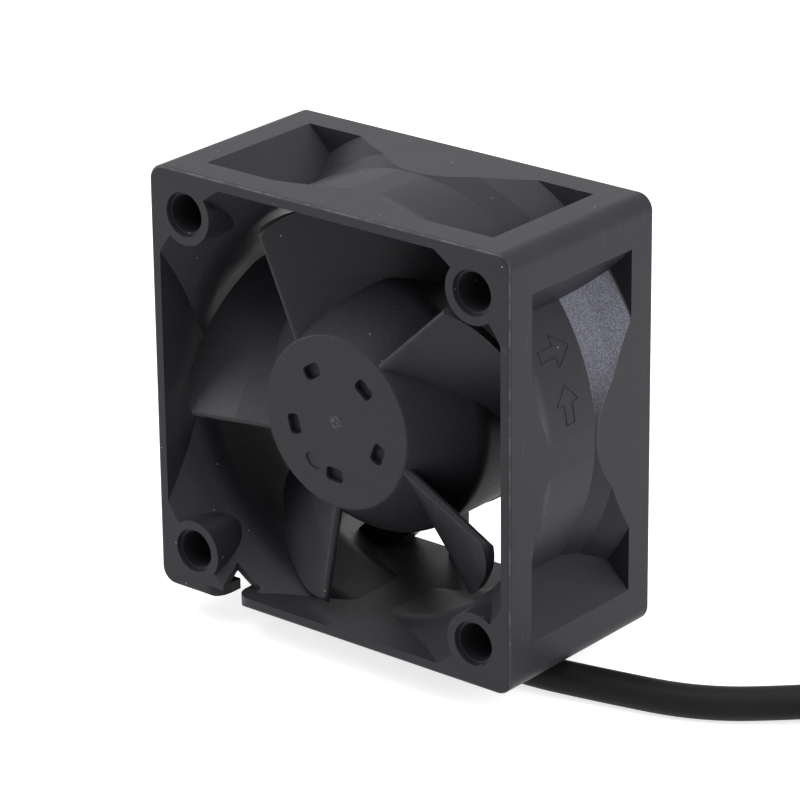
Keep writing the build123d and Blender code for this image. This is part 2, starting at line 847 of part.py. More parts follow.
for index, colour in enumerate(("red", "black", "yellow")):
    shift = (index - 1) * wire_pitch
    rise = 0.65 * shift
    pad = lead_pads[index]
    along = (cord_level + rise - lead_foot[1] - lead_run[0] * shift) / lead_run[1]
    bend_x = lead_foot[0] - lead_run[1] * shift + lead_run[0] * along
    wire_end = jacket_start + jacket_side * (0.8 * shift) + Vector(0, 0, rise)
    wire_points = [
        Vector(pad[0], board_rear, pad[1]),
        Vector(pad[0], channel_level, pad[1]),
        Vector(bend_x, channel_level, cord_level + rise),
        wire_end,
    ]
    bends = [min(wire_bend, room) for room in corner_radii(wire_points, end_run_share)]
    with BuildPart() as lead_wire:
        with BuildLine() as wire_line:
            FilletPolyline(*wire_points, radius=bends)
        with BuildSketch(Plane(wire_line.line @ 0, z_dir=wire_line.line % 0)):
            Circle(wire_radius)
        sweep()
    finish(lead_wire, f"lead_wire_{colour}")

with BuildPart() as solder_joints:
    for spot in lead_pads:
        with BuildSketch(across(board_front)):
            with Locations(spot):
                Circle(wire_radius)
        extrude(amount=wire_radius / 2)
finish(solder_joints, "solder_joints")

# Cord
# A round jacketed cord: one tube along the open stretch, a flat coil of two turns
# with a tie, and three bare-ended wires at its far end.
cord_radii = corner_radii(cord_points, inner_run_share)
with BuildPart() as cord_jacket:
    with BuildLine() as cord_line:
        FilletPolyline(*cord_points, radius=cord_radii)
    with BuildSketch(Plane(cord_line.line @ 0, z_dir=cord_line.line % 0)):
        Circle(cord_radius)
    sweep()
finish(cord_jacket, "cord_jacket")
tube_length = sum(edge.length for edge in cord_line.edges())
print("cord corner radii", [round(radius, 1) for radius in cord_radii])
print("cord tube length", round(tube_length, 1))
print("cord tube volume", round(cord_jacket.part.volume, 1))
print("section times length", round(pi * cord_radius**2 * tube_length, 1))

# The coil: two turns side by side, with a straight leg that meets the tube face to face
coil_outer = turn_radius + turn_pitch / 2 + cord_radius
coil_inner = turn_radius - turn_pitch / 2 - cord_radius
outer_turn = turn_radius + turn_pitch / 2
inner_turn = turn_radius - turn_pitch / 2
leg_heading = (cord_points[-1] - cord_points[-2]).normalized()
leg_side = Vector(leg_heading.Y, -leg_heading.X, 0)
coil_middle = cord_points[-1] + leg_heading * leg_length + leg_side * (outer_turn - leg_sink)

with BuildPart() as cord_coil:
    with BuildSketch(Plane(coil_middle - Vector(0, 0, cord_radius))):
        Circle(coil_outer)
        Circle(coil_inner, mode=Mode.SUBTRACT)
    extrude(amount=cord_diameter)
    chamfer(cord_coil.edges().filter_by(GeomType.CIRCLE), length=cord_radius * 0.5)
    with BuildSketch(Plane(cord_points[-1], z_dir=leg_heading)):
        Circle(cord_radius - leg_sink / 2)
    extrude(amount=leg_length)
finish(cord_coil, "cord_coil")

tie_room = coil_outer - coil_inner + tie_thickness / 2
tie_plane = Plane(
    origin=coil_middle,
    x_dir=(cos(radians(tie_angle)), sin(radians(tie_angle)), 0),
    z_dir=(sin(radians(tie_angle)), -cos(radians(tie_angle)), 0),
)
with BuildPart() as cord_tie:
    with BuildSketch(tie_plane):
        with Locations((turn_radius, 0)):
            Rectangle(tie_room + 2 * tie_thickness, cord_diameter + 2 * tie_thickness)
            Rectangle(tie_room, cord_diameter, mode=Mode.SUBTRACT)
    extrude(amount=tie_width / 2, both=True)
finish(cord_tie, "cord_tie")

# The far end: three wires that leave the coil's inner side, with tinned tips
end_start = coil_middle - leg_side.rotate(Axis.Z, end_wire_angle) * inner_turn
tip_places = []
for index, colour in enumerate(("red", "black", "yellow")):
    shift = (index - 1) * wire_pitch
    turn = end_wire_angle - end_wire_turn + (index - 1) * end_wire_spread
    turned = leg_heading.rotate(Axis.Z, turn)
    start = end_start + Vector(-turned.Y, turned.X, 0) * shift
    with BuildPart() as end_wire:
        with BuildSketch(Plane(start, z_dir=turned)):
            Circle(wire_radius)
        extrude(amount=end_wire_length)
        add(cord_coil.part, mode=Mode.SUBTRACT)
    finish(end_wire, f"end_wire_{colour}")
    tip_places.append(Plane(start + turned * end_wire_length, z_dir=turned))

with BuildPart() as tinned_tips:
    for place in tip_places:
        with BuildSketch(place):
            Circle(tinned_radius)
        extrude(amount=tinned_length)
finish(tinned_tips, "tinned_tips")
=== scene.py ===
"""A 40 mm axial cooling fan: its finishes, its cord and the small marks on it."""

from math import atan2, cos, radians, sin, tau

import bmesh
import bpy
from mathutils import Matrix, Vector


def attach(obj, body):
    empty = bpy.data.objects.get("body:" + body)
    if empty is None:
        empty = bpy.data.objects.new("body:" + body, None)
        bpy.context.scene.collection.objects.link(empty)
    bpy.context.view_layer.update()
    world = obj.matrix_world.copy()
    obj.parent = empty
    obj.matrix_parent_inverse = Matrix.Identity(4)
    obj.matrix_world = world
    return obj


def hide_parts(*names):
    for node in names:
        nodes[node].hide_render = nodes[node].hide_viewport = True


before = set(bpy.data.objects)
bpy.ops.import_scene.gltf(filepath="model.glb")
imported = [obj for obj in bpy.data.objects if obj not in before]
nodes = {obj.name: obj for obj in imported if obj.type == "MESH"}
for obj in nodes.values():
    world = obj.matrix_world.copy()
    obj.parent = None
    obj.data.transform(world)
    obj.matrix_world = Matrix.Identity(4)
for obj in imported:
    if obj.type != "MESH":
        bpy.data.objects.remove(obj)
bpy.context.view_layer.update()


# Housing
# One moulding in dark glass-filled plastic: square frame, round shroud, screw tubes,
# motor base and struts. Spark-eroded tool faces leave a fine grain, coarser at the back
# of the shroud, and the gate side shows faint flow lines. Where the coarse grain shows in
# the upper half of the side window it is painted lighter, with painted glints, and the
# front rims carry a thin painted highlight.


class Signal:
    """A value on its way through a finish; arithmetic on it adds Math nodes."""

    def __init__(self, finish, socket):
        self.finish = finish
        self.socket = socket

    def math(self, operation, *values):
        return self.finish.node("ShaderNodeMath", {"operation": operation}, dict(enumerate(values)))

    def __add__(self, other):
        return self.math("ADD", self, other)

    def __sub__(self, other):
        return self.math("SUBTRACT", self, other)

    def __rsub__(self, other):
        return self.math("SUBTRACT", other, self)

    def __mul__(self, other):
        return self.math("MULTIPLY", self, other)

    def __pow__(self, other):
        return self.math("POWER", self, other)

    def __abs__(self):
        return self.math("ABSOLUTE", self)

    __radd__ = __add__
    __rmul__ = __mul__

    def largest(self, other):
        return self.math("MAXIMUM", self, other)

    def wave(self, pitch):
        """A sine of the value, with this pitch."""
        turned = self * (tau / pitch)
        return turned.math("SINE", turned)

    def stripes(self, pitch):
        """The wave again, raised to run from 0 to 1."""
        return self.wave(pitch) * 0.5 + 0.5

    def above(self, low, high):
        """0 below low, 1 above high, and a smooth rise between them."""
        sockets = {"Value": self, "From Min": low, "From Max": high}
        return self.finish.node("ShaderNodeMapRange", {"interpolation_type": "SMOOTHSTEP"}, sockets)


class Finish:
    """A material, with one method that adds any node to it."""

    def __init__(self, name, colour, roughness, metallic=0.0):
        self.material = bpy.data.materials.new(name)
        self.material.use_nodes = True
        self.tree = self.material.node_tree
        self.surface = self.tree.nodes["Principled BSDF"]
        self.colour = colour
        self.set("Base Color", (*colour, 1.0))
        self.set("Roughness", roughness)
        self.set("Metallic", metallic)

    def node(self, kind, settings=None, sockets=None, output=0):
        new = self.tree.nodes.new(kind)
        for setting, value in (settings or {}).items():
            setattr(new, setting, value)
        for socket, value in (sockets or {}).items():
            self.join(new.inputs[socket], value)
        return Signal(self, new.outputs[output])

    def join(self, socket, value):
        if isinstance(value, Signal):
            self.tree.links.new(value.socket, socket)
        else:
            socket.default_value = value

    def set(self, socket, value):
        self.join(self.surface.inputs[socket], value)

    def place(self):
        """The point on the piece, as one vector and as its X, Y and Z."""
        point = self.node("ShaderNodeTexCoord", output="Object")
        split = self.node("ShaderNodeSeparateXYZ", sockets={"Vector": point})
        axes = [Signal(self, output) for output in split.socket.node.outputs]
        return point, axes

    def stretched(self, point, scale):
        """The point with its axes scaled, so that a grain on it is drawn out along the small ones."""
        return self.node("ShaderNodeVectorMath", {"operation": "MULTIPLY"}, {0: point, 1: scale})

    def grain(self, point, size, detail=2.0, rough=0.5):
        """Noise whose spots are about this size, in metres."""
        sockets = {"Vector": point, "Scale": 1.0 / size, "Detail": detail, "Roughness": rough}
        return self.node("ShaderNodeTexNoise", sockets=sockets)

    def shades(self, share, dark, light):
        """The piece's colour, from dark to light times itself as share goes from 0 to 1."""
        ends = {6: (*(c * dark for c in self.colour), 1.0), 7: (*(c * light for c in self.colour), 1.0)}
        return self.node("ShaderNodeMix", {"data_type": "RGBA"}, {0: share, **ends}, output=2)

    def cover(self, share, under, colour):
        """The colour under, with another colour laid over it by share."""
        sockets = {0: share, 6: under, 7: (*colour, 1.0)}
        return self.node("ShaderNodeMix", {"data_type": "RGBA"}, sockets, output=2)

    def specks(self, point, spacing, radius):
        """1 inside small round spots, one in some of the cells of this spacing, and 0 elsewhere."""
        sockets = {"Vector": point, "Scale": 1.0 / spacing, "Randomness": 1.0}
        distance = self.node("ShaderNodeTexVoronoi", sockets=sockets)
        cell = Signal(self, distance.socket.node.outputs["Color"])
        chosen = self.node("ShaderNodeSeparateXYZ", sockets={"Vector": cell})
        return (1 - distance.above(0.6 * radius / spacing, radius / spacing)) * chosen.above(0.7, 0.72)

    def bump(self, height, depth):
        """A surface that rises by depth, in metres, where height is 1."""
        return self.node("ShaderNodeBump", sockets={"Height": height, "Distance": depth, "Strength": 1.0})

    def on(self, piece):
        piece.data.materials.clear()
        piece.data.materials.append(self.material)


def off_axis(x, z):
    """How far a point lies from the fan's axis."""
    return (x * x + z * z) ** 0.5


housing_grey = (0.0248, 0.0236, 0.0288)
shroud_radius = 0.02005
step_depth = 0.0118
step_radius = 0.01993
knee_depth = 0.01435
knee_radius = 0.02065
front_slope = (knee_radius - step_radius) / (knee_depth - step_depth)
rear_slope = 0.643
half_width = 0.020
rim_round = 0.0003
patch_end = 0.0168
sheen_side = 0.0135
sheen_top = 0.009
edge_blur = 0.00005
scuffed_grey = (0.075, 0.073, 0.078)
# Painted sheen and painted glints for the coarse patch in the side window
sheen_grey = (0.10, 0.10, 0.125)
glint_grey = (0.24, 0.245, 0.30)
# Painted highlight on the front rim fillets
rim_highlight_grey = (0.11, 0.11, 0.115)
dust_grey = (0.42, 0.42, 0.43)

housing_finish = Finish("housing_plastic", housing_grey, 0.42)
point, (x, y, z) = housing_finish.place()
from_axis = off_axis(x, z)
front_cone = (y - step_depth) * front_slope + step_radius
rear_cone = (y - knee_depth) * rear_slope + knee_radius
off_cone = from_axis - front_cone.largest(rear_cone)
on_cone = 1 - abs(off_cone).above(0.00004, 0.00009)
behind_step = y.above(step_depth - edge_blur, step_depth + edge_blur) * (
    1 - y.above(patch_end - 2 * edge_blur, patch_end)
)
# Painted sheen: the coarse grain is painted lighter, with painted glints, only in the upper half of the
# side window, where the light catches it. The same patch also carries the coarse grain's real bumps and
# roughness.
sheen_window = x.above(sheen_side, sheen_side + 0.001) * z.above(0.0, sheen_top)
coarse_sheen_patch = on_cone * behind_step * sheen_window
fine_grain = housing_finish.grain(point, 0.00018, 3.0, 0.6)
coarse_grain = housing_finish.grain(point, 0.00013, 3.0, 0.7)
cloud = housing_finish.grain(point, 0.006, 3.0)
along_flow = housing_finish.stretched(point, (1.0, 0.08, 0.25))
flow_lines = housing_finish.grain(along_flow, 0.0007, 2.0)
dust = housing_finish.specks(point, 0.0013, 0.00008)
across_depth = housing_finish.stretched(point, (0.12, 1.0, 0.12))
scuffs = housing_finish.grain(across_depth, 0.0004, 3.0).above(0.66, 0.72) * cloud.above(0.5, 0.6)
highlight_breakup = housing_finish.grain(point, 0.0016, 3.0)
housing_shade = housing_finish.shades(cloud * 0.6 + flow_lines * 0.2 + fine_grain * 0.2, 0.78, 1.22)
housing_shade = housing_finish.cover(scuffs * 0.35, housing_shade, scuffed_grey)
# Painted sheen over the coarse patch, then painted glints on its grain
housing_shade = housing_finish.cover(coarse_sheen_patch * 0.8, housing_shade, sheen_grey)
painted_glint = coarse_sheen_patch * coarse_grain.above(0.42, 0.68)
housing_shade = housing_finish.cover(painted_glint * 0.85, housing_shade, glint_grey)
# A thin painted highlight along the front rim fillets, where the front face meets the sides and top. Noise
# and the scuffs break it up.
rim_band = (0.3 * rim_round, 0.75 * rim_round)
near_front = 1 - y.above(*rim_band)
near_side = abs(x).above(half_width - rim_band[1], half_width - rim_band[0])
near_top = abs(z).above(half_width - rim_band[1], half_width - rim_band[0])
rim = near_front * near_side.largest(near_top)
painted_rim_highlight = rim * (0.35 + scuffs * 0.2 + highlight_breakup.above(0.45, 0.6) * 0.45)
housing_shade = housing_finish.cover(painted_rim_highlight, housing_shade, rim_highlight_grey)
housing_finish.set("Base Color", housing_finish.cover(dust * 0.8, housing_shade, dust_grey))
housing_finish.set("Roughness", 0.34 + 0.10 * cloud + 0.06 * flow_lines + 0.06 * coarse_sheen_patch)
housing_height = fine_grain * (1 - coarse_sheen_patch) * 2.2 + coarse_grain * coarse_sheen_patch * 4
housing_height = housing_height + flow_lines * 0.4
housing_finish.set("Normal", housing_finish.bump(housing_height, 0.000008))
housing_finish.set("Specular IOR Level", 0.15)
housing_finish.on(nodes["frame"])


# Arrows on the shroud
# Two small raised outlines, moulded with the shroud and seen through the side window:
# one shows which way the air flows, the other which way the impeller turns.
def raised_line_tree():
    """Nodes that wrap a flat outline round the shroud and thicken it to a line."""
    tree = bpy.data.node_groups.new("raised_lines", "GeometryNodeTree")
    face = tree.interface
    face.new_socket("Outline", in_out="INPUT", socket_type="NodeSocketGeometry")
    face.new_socket("Line Width", in_out="INPUT", socket_type="NodeSocketFloat")
    face.new_socket("Shroud Radius", in_out="INPUT", socket_type="NodeSocketFloat")
    face.new_socket("Plastic", in_out="INPUT", socket_type="NodeSocketMaterial")
    face.new_socket("Marks", in_out="OUTPUT", socket_type="NodeSocketGeometry")

    def node(kind, settings=None, **sockets):
        new = tree.nodes.new(kind)
        for setting, value in (settings or {}).items():
            setattr(new, setting, value)
        for socket, value in sockets.items():
            at = int(socket[1:]) if socket[1:].isdigit() else socket.replace("_", " ")
            if isinstance(value, bpy.types.NodeSocket):
                tree.links.new(value, new.inputs[at])
            else:
                new.inputs[at].default_value = value
        return new

    given = node("NodeGroupInput").outputs
    lines = node("GeometryNodeMeshToCurve", Mesh=given["Outline"])
    fine = node("GeometryNodeSubdivideCurve", Curve=lines.outputs[0], Cuts=5)
    flat = node("ShaderNodeSeparateXYZ", Vector=node("GeometryNodeInputPosition").outputs[0])
    angle = node("ShaderNodeMath", {"operation": "DIVIDE"}, _0=flat.outputs[0], _1=given["Shroud Radius"])
    across = node("ShaderNodeMath", {"operation": "COSINE"}, _0=angle.outputs[0])
    upward = node("ShaderNodeMath", {"operation": "SINE"}, _0=angle.outputs[0])
    times = {"operation": "MULTIPLY"}
    out = node("ShaderNodeMath", times, _0=across.outputs[0], _1=given["Shroud Radius"])
    rise = node("ShaderNodeMath", times, _0=upward.outputs[0], _1=given["Shroud Radius"])
    wrapped = node("ShaderNodeCombineXYZ", X=out.outputs[0], Y=flat.outputs[1], Z=rise.outputs[0])
    bent = node("GeometryNodeSetPosition", Geometry=fine.outputs[0], Position=wrapped.outputs[0])
    half_line = node("ShaderNodeMath", times, _0=given["Line Width"], _1=0.5)
    section = node("GeometryNodeCurvePrimitiveCircle", Resolution=8, Radius=half_line.outputs[0])
    solid = node(
        "GeometryNodeCurveToMesh", Curve=bent.outputs[0], Profile_Curve=section.outputs[0], Fill_Caps=True
    )
    real = node("GeometryNodeRealizeInstances", Geometry=solid.outputs[0])
    painted = node("GeometryNodeSetMaterial", Geometry=real.outputs[0], Material=given["Plastic"])
    node("NodeGroupOutput", Marks=painted.outputs[0])
    return tree


line_width = 0.00014
# Each outline is laid flat first: how far round the shroud, then how far from the inlet face
flow_arrow = [
    (0.00942, 0.0066), (0.00842, 0.0066), (0.00842, 0.0086), (0.0075, 0.0086), (0.0090, 0.0106),
    (0.0105, 0.0086), (0.00942, 0.0086),
]
turn_arrow = [
    (0.0025, 0.00805), (0.0043, 0.00805), (0.0044, 0.0071), (0.0059, 0.0086), (0.0044, 0.0101),
    (0.0043, 0.00915), (0.0025, 0.00915),
]
for mark_name, outline in (("air_flow_arrow", flow_arrow), ("turning_arrow", turn_arrow)):
    flat_outline = bpy.data.meshes.new(mark_name + "_flat")
    edges = [(i, (i + 1) % len(outline)) for i in range(len(outline))]
    flat_outline.from_pydata([(along, depth, 0.0) for along, depth in outline], edges, [])
    mark = bpy.data.objects.new(mark_name, flat_outline)
    bpy.context.scene.collection.objects.link(mark)
    lines = mark.modifiers.new("raised_lines", "NODES")
    lines.node_group = raised_line_tree()
    inputs = {"Line Width": line_width, "Shroud Radius": shroud_radius, "Plastic": housing_finish.material}
    for item in lines.node_group.interface.items_tree:
        if item.name in inputs:
            lines[item.identifier] = inputs[item.name]
    shaped = mark.evaluated_get(bpy.context.evaluated_depsgraph_get())
    mark.data = bpy.data.meshes.new_from_object(shaped)
    mark.modifiers.clear()
    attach(mark, "housing")


# Rear plug
# A small black plug pressed into the back of the bearing tube, with a matt dished face.
plug_finish = Finish("plug_plastic", (0.022, 0.022, 0.024), 0.5)
point, (x, y, z) = plug_finish.place()
skin = plug_finish.grain(point, 0.0002, 3.0)
plug_finish.set("Base Color", plug_finish.shades(skin, 0.8, 1.25))
plug_finish.set("Roughness", 0.45 + 0.15 * skin)
plug_finish.set("Normal", plug_finish.bump(skin, 0.000008))
plug_finish.on(nodes["rear_plug"])


# Impeller
# One moulding in the same kind of plastic, pressed on the shaft's bush: a coned hub and
# five blades. The nose is a little rougher than the blades, and a broken-off gate has
# left a rough spot in its middle.
impeller_grey = (0.0205, 0.0194, 0.0238)
nose_radius = 0.0079
nose_depth = 0.0015
hub_radius = 0.0121
gate_radius = 0.0007
nose_grey = (0.036, 0.035, 0.039)
torn_grey = (0.13, 0.13, 0.135)
impeller_finish = Finish("impeller_plastic", impeller_grey, 0.4)
point, (x, y, z) = impeller_finish.place()
from_axis = off_axis(x, z)
at_front = 1 - y.above(nose_depth - 0.0002, nose_depth)
nose = (1 - from_axis.above(nose_radius - 0.0002, nose_radius)) * at_front
hub_side = (1 - from_axis.above(hub_radius, hub_radius + 0.0002)) * (1 - nose)
skin = impeller_finish.grain(point, 0.00018, 3.0)
cloud = impeller_finish.grain(point, 0.005, 3.0)
gate_noise = impeller_finish.grain(point, 0.0004, 4.0, 0.8)
ragged = from_axis + gate_noise * 0.0006
gate_spot = (1 - ragged.above(gate_radius, gate_radius + 0.0004)) * at_front
dust = impeller_finish.specks(point, 0.0016, 0.00008)
impeller_shade = impeller_finish.shades(cloud * 0.7 + skin * 0.3, 0.78, 1.22)
impeller_shade = impeller_finish.cover(nose * 0.35, impeller_shade, nose_grey)
torn = gate_spot * gate_noise.above(0.46, 0.58)
impeller_shade = impeller_finish.cover(torn * 0.8, impeller_shade, torn_grey)
impeller_finish.set("Base Color", impeller_finish.cover(dust * 0.8, impeller_shade, dust_grey))
impeller_finish.set("Roughness", 0.38 + 0.10 * cloud + 0.06 * hub_side + 0.12 * nose)
impeller_height = skin * (2.2 + 3.0 * hub_side) + gate_noise * gate_spot * 24
impeller_finish.set("Normal", impeller_finish.bump(impeller_height, 0.000009))
impeller_finish.set("Specular IOR Level", 0.17)
impeller_finish.on(nodes["impeller"])


# Shaft, bush and small rotor metal
# A ground steel shaft pressed in a turned brass bush, with a spring steel clip, a thrust
# washer and a preload spring. Turning and grinding leave fine rings round the axis.
def turned_metal(name, colour, roughness, ring_spacing):
    """Bare metal that was turned about the fan's axis, with rings this far apart."""
    finish = Finish(name, colour, roughness, 1.0)
    point, (x, y, z) = finish.place()
    rings = (off_axis(x, z) + y).stripes(ring_spacing)
    stain = finish.grain(point, 0.0008, 3.0)
    finish.set("Base Color", finish.shades(stain, 0.88, 1.05))
    finish.set("Roughness", roughness + 0.10 * stain)
    finish.set("Normal", finish.bump(rings * 0.5 + stain * 0.5, 0.000002))
    return finish


turned_metal("shaft_steel", (0.62, 0.62, 0.63), 0.16, 0.00008).on(nodes["shaft"])
turned_metal("bush_brass", (0.72, 0.50, 0.22), 0.28, 0.00012).on(nodes["shaft_bush"])
spring_steel = turned_metal("spring_steel", (0.48, 0.49, 0.52), 0.25, 0.00010)
for part_name in ("preload_spring", "thrust_washer", "retaining_clip"):
    spring_steel.on(nodes[part_name])


# Yoke and magnet
# A drawn steel ring, pressed into the hub and zinc plated, with a ring magnet of dark
# bonded ferrite glued inside it.
turned_metal("yoke_steel", (0.50, 0.51, 0.53), 0.32, 0.0003).on(nodes["rotor_yoke"])
magnet_finish = Finish("bonded_ferrite", (0.035, 0.033, 0.032), 0.55)
point, (x, y, z) = magnet_finish.place()
ferrite = magnet_finish.grain(point, 0.00012, 4.0, 0.7)
magnet_finish.set("Base Color", magnet_finish.shades(ferrite, 0.6, 1.5))
magnet_finish.set("Roughness", 0.5 + 0.2 * ferrite)
magnet_finish.set("Normal", magnet_finish.bump(ferrite, 0.000006))
magnet_finish.on(nodes["rotor_magnet"])


# Ball bearings
# Two shielded miniature bearings: ground rings, polished balls in a pressed brass cage
# and thin stamped shields.
ring_steel = turned_metal("ring_steel", (0.60, 0.60, 0.61), 0.18, 0.00006)
shield_steel = turned_metal("shield_steel", (0.52, 0.52, 0.53), 0.30, 0.00015)
ball_steel = turned_metal("ball_steel", (0.70, 0.70, 0.71), 0.08, 0.001)
cage_brass = turned_metal("cage_brass", (0.66, 0.46, 0.20), 0.30, 0.00010)
for place_name in ("front", "rear"):
    ring_steel.on(nodes[place_name + "_outer_ring"])
    ring_steel.on(nodes[place_name + "_inner_ring"])
    shield_steel.on(nodes[place_name + "_shields"])
    ball_steel.on(nodes[place_name + "_balls"])
    cage_brass.on(nodes[place_name + "_cage"])


# Stator
# A stack of punched steel sheets with four poles between two pale nylon insulators. Each
# pole carries a coil of enamelled copper wire, and three tinned pins lead to the board.
sheet_thickness = 0.0005
stack_finish = Finish("core_sheets", (0.36, 0.37, 0.39), 0.4, 1.0)
point, (x, y, z) = stack_finish.place()
sheet_edges = y.stripes(sheet_thickness)
rust = stack_finish.grain(point, 0.0007, 4.0)
stack_finish.set("Base Color", stack_finish.shades(sheet_edges * 0.6 + rust * 0.4, 0.6, 1.2))
stack_finish.set("Roughness", 0.35 + 0.2 * rust)
stack_finish.set("Normal", stack_finish.bump(sheet_edges, 0.00003))
stack_finish.on(nodes["stator_core"])

nylon_finish = Finish("insulator_nylon", (0.62, 0.58, 0.47), 0.42)
point, (x, y, z) = nylon_finish.place()
cloud = nylon_finish.grain(point, 0.0015, 3.0)
nylon_finish.set("Base Color", nylon_finish.shades(cloud, 0.88, 1.08))
nylon_finish.set("Roughness", 0.36 + 0.14 * cloud)
nylon_finish.set("Normal", nylon_finish.bump(cloud, 0.00001))
nylon_finish.on(nodes["front_insulator"])
nylon_finish.on(nodes["rear_insulator"])

wire_pitch_on_pole = 0.00018
copper_finish = Finish("enamelled_copper", (0.42, 0.12, 0.035), 0.25, 0.6)
point, (x, y, z) = copper_finish.place()
windings = abs(x).largest(abs(z)).stripes(wire_pitch_on_pole)
varnish = copper_finish.grain(point, 0.0006, 3.0)
copper_finish.set("Base Color", copper_finish.shades(windings * 0.7 + varnish * 0.3, 0.45, 1.25))
copper_finish.set("Roughness", 0.2 + 0.2 * varnish)
copper_finish.set("Normal", copper_finish.bump(windings, 0.00004))
copper_finish.on(nodes["stator_coils"])

tinned_finish = Finish("tinned_metal", (0.60, 0.60, 0.58), 0.3, 1.0)
point, (x, y, z) = tinned_finish.place()
dull = tinned_finish.grain(point, 0.0004, 4.0, 0.6)
tinned_finish.set("Base Color", tinned_finish.shades(dull, 0.75, 1.1))
tinned_finish.set("Roughness", 0.22 + 0.25 * dull)
tinned_finish.set("Normal", tinned_finish.bump(dull, 0.000015))
tinned_finish.on(nodes["winding_pins"])
tinned_finish.on(nodes["solder_joints"])


# Circuit board
# A round glass laminate board under green mask, with a moulded driver chip, a sensor in
# front of it, two capacitors and two resistors. The leads are soldered at its edge.
weave_pitch = 0.0005
track_pitch = 0.0016
board_finish = Finish("board_mask", (0.022, 0.115, 0.045), 0.35)
point, (x, y, z) = board_finish.place()
weave = x.wave(weave_pitch) * z.wave(weave_pitch)
ring_tracks = off_axis(x, z).wave(track_pitch).above(0.45, 0.55)
broken = board_finish.grain(point, 0.003, 1.0).above(0.48, 0.50)
board_finish.set("Base Color", board_finish.shades(ring_tracks * broken * 0.8 + weave * 0.1, 0.8, 1.7))
board_finish.set("Roughness", 0.30 + 0.08 * broken)
board_finish.set("Normal", board_finish.bump(ring_tracks * broken + weave * 0.2, 0.00002))
board_finish.on(nodes["circuit_board"])

for part_name, colour, light in (
    ("driver_chip", (0.020, 0.020, 0.021), 1.5),
    ("hall_sensor", (0.024, 0.023, 0.024), 1.5),
    ("chip_capacitors", (0.36, 0.25, 0.15), 1.15),
    ("chip_resistors", (0.025, 0.024, 0.026), 1.3),
):
    part_finish = Finish(part_name + "_body", colour, 0.5)
    point, (x, y, z) = part_finish.place()
    speckle = part_finish.grain(point, 0.0001, 3.0, 0.7)
    part_finish.set("Base Color", part_finish.shades(speckle, 0.75, light))
    part_finish.set("Roughness", 0.42 + 0.2 * speckle)
    part_finish.set("Normal", part_finish.bump(speckle, 0.000006))
    part_finish.on(nodes[part_name])


# Leads
# Three thin stranded wires in coloured vinyl, soldered to the board and laid side by
# side in the wide strut's channel. They go into the cord's sleeve under the lower edge.
lead_colours = {
    "red": (0.42, 0.022, 0.018),
    "black": (0.014, 0.014, 0.015),
    "yellow": (0.62, 0.42, 0.03),
}
lead_finishes = {}
for colour_name, colour in lead_colours.items():
    lead_finish = Finish("vinyl_" + colour_name, colour, 0.32)
    point, (x, y, z) = lead_finish.place()
    ripple = lead_finish.grain(point, 0.0008, 2.0)
    lead_finish.set("Base Color", lead_finish.shades(ripple, 0.85, 1.12))
    lead_finish.set("Roughness", 0.26 + 0.14 * ripple)
    lead_finish.set("Normal", lead_finish.bump(ripple, 0.00001))
    lead_finish.on(nodes["lead_wire_" + colour_name])
    lead_finishes[colour_name] = lead_finish


# Cord
# A round dark sleeve over three wires. It comes out under the lower edge, lies beside
# the fan on the surface and is put away as a flat coil with a tie round it.
def tube_along(name, route, diameter, roundness):
    """A round tube on a smooth line that is led by the points of the route."""
    line = bpy.data.curves.new(name, "CURVE")
    line.dimensions = "3D"
    line.bevel_depth = diameter / 2
    line.bevel_resolution = roundness
    line.resolution_u = 8
    line.use_fill_caps = True
    spline = line.splines.new("NURBS")
    spline.points.add(len(route) - 1)
    for spot, place in zip(spline.points, route):
        spot.co = (*place, 1.0)
    spline.order_u = 3
    spline.use_endpoint_u = True
    tube = bpy.data.objects.new(name, line)
    bpy.context.scene.collection.objects.link(tube)
    return tube


cord_level = -0.0216
coil_level = -0.0213
cord_diameter = 0.003
cord_route = [
    (-0.009, 0.017, cord_level),
    (-0.0008, 0.0117, cord_level),
    (0.0066, 0.0093, cord_level),
    (0.0142, 0.008, cord_level),
    (0.0225, 0.00955, cord_level),
    (0.0316, 0.0117, cord_level),
    (0.0387, 0.0171, coil_level),
    (0.0417, 0.02072, coil_level),
]
turn_radius = 0.015
turn_pitch = 0.0031
leg_length = 0.0103
leg_sink = 0.00008
outer_turn = turn_radius + turn_pitch / 2
inner_turn = turn_radius - turn_pitch / 2
leg_end = Vector(cord_route[-1])
leg_heading = (leg_end - Vector(cord_route[-2])).normalized()
leg_side = Vector((leg_heading.y, -leg_heading.x, 0))
coil_middle = leg_end + leg_heading * leg_length + leg_side * (outer_turn - leg_sink)
first_angle = atan2(-leg_side.y, -leg_side.x)
turned = 640
step = 20
inward_from = 270
inward_over = 80
coil_points = []
for angle in range(0, turned + 1, step):
    passed = min(max((angle - inward_from) / inward_over, 0), 1)
    radius = outer_turn - turn_pitch * passed * passed * (3 - 2 * passed)
    radius = radius / cos(radians(step / 2))
    at = first_angle - radians(angle)
    coil_points.append(coil_middle + Vector((radius * cos(at), radius * sin(at), 0)))

route = [Vector(p) for p in cord_route] + coil_points
cord_sleeve = tube_along("cord_sleeve", route, cord_diameter, 6)

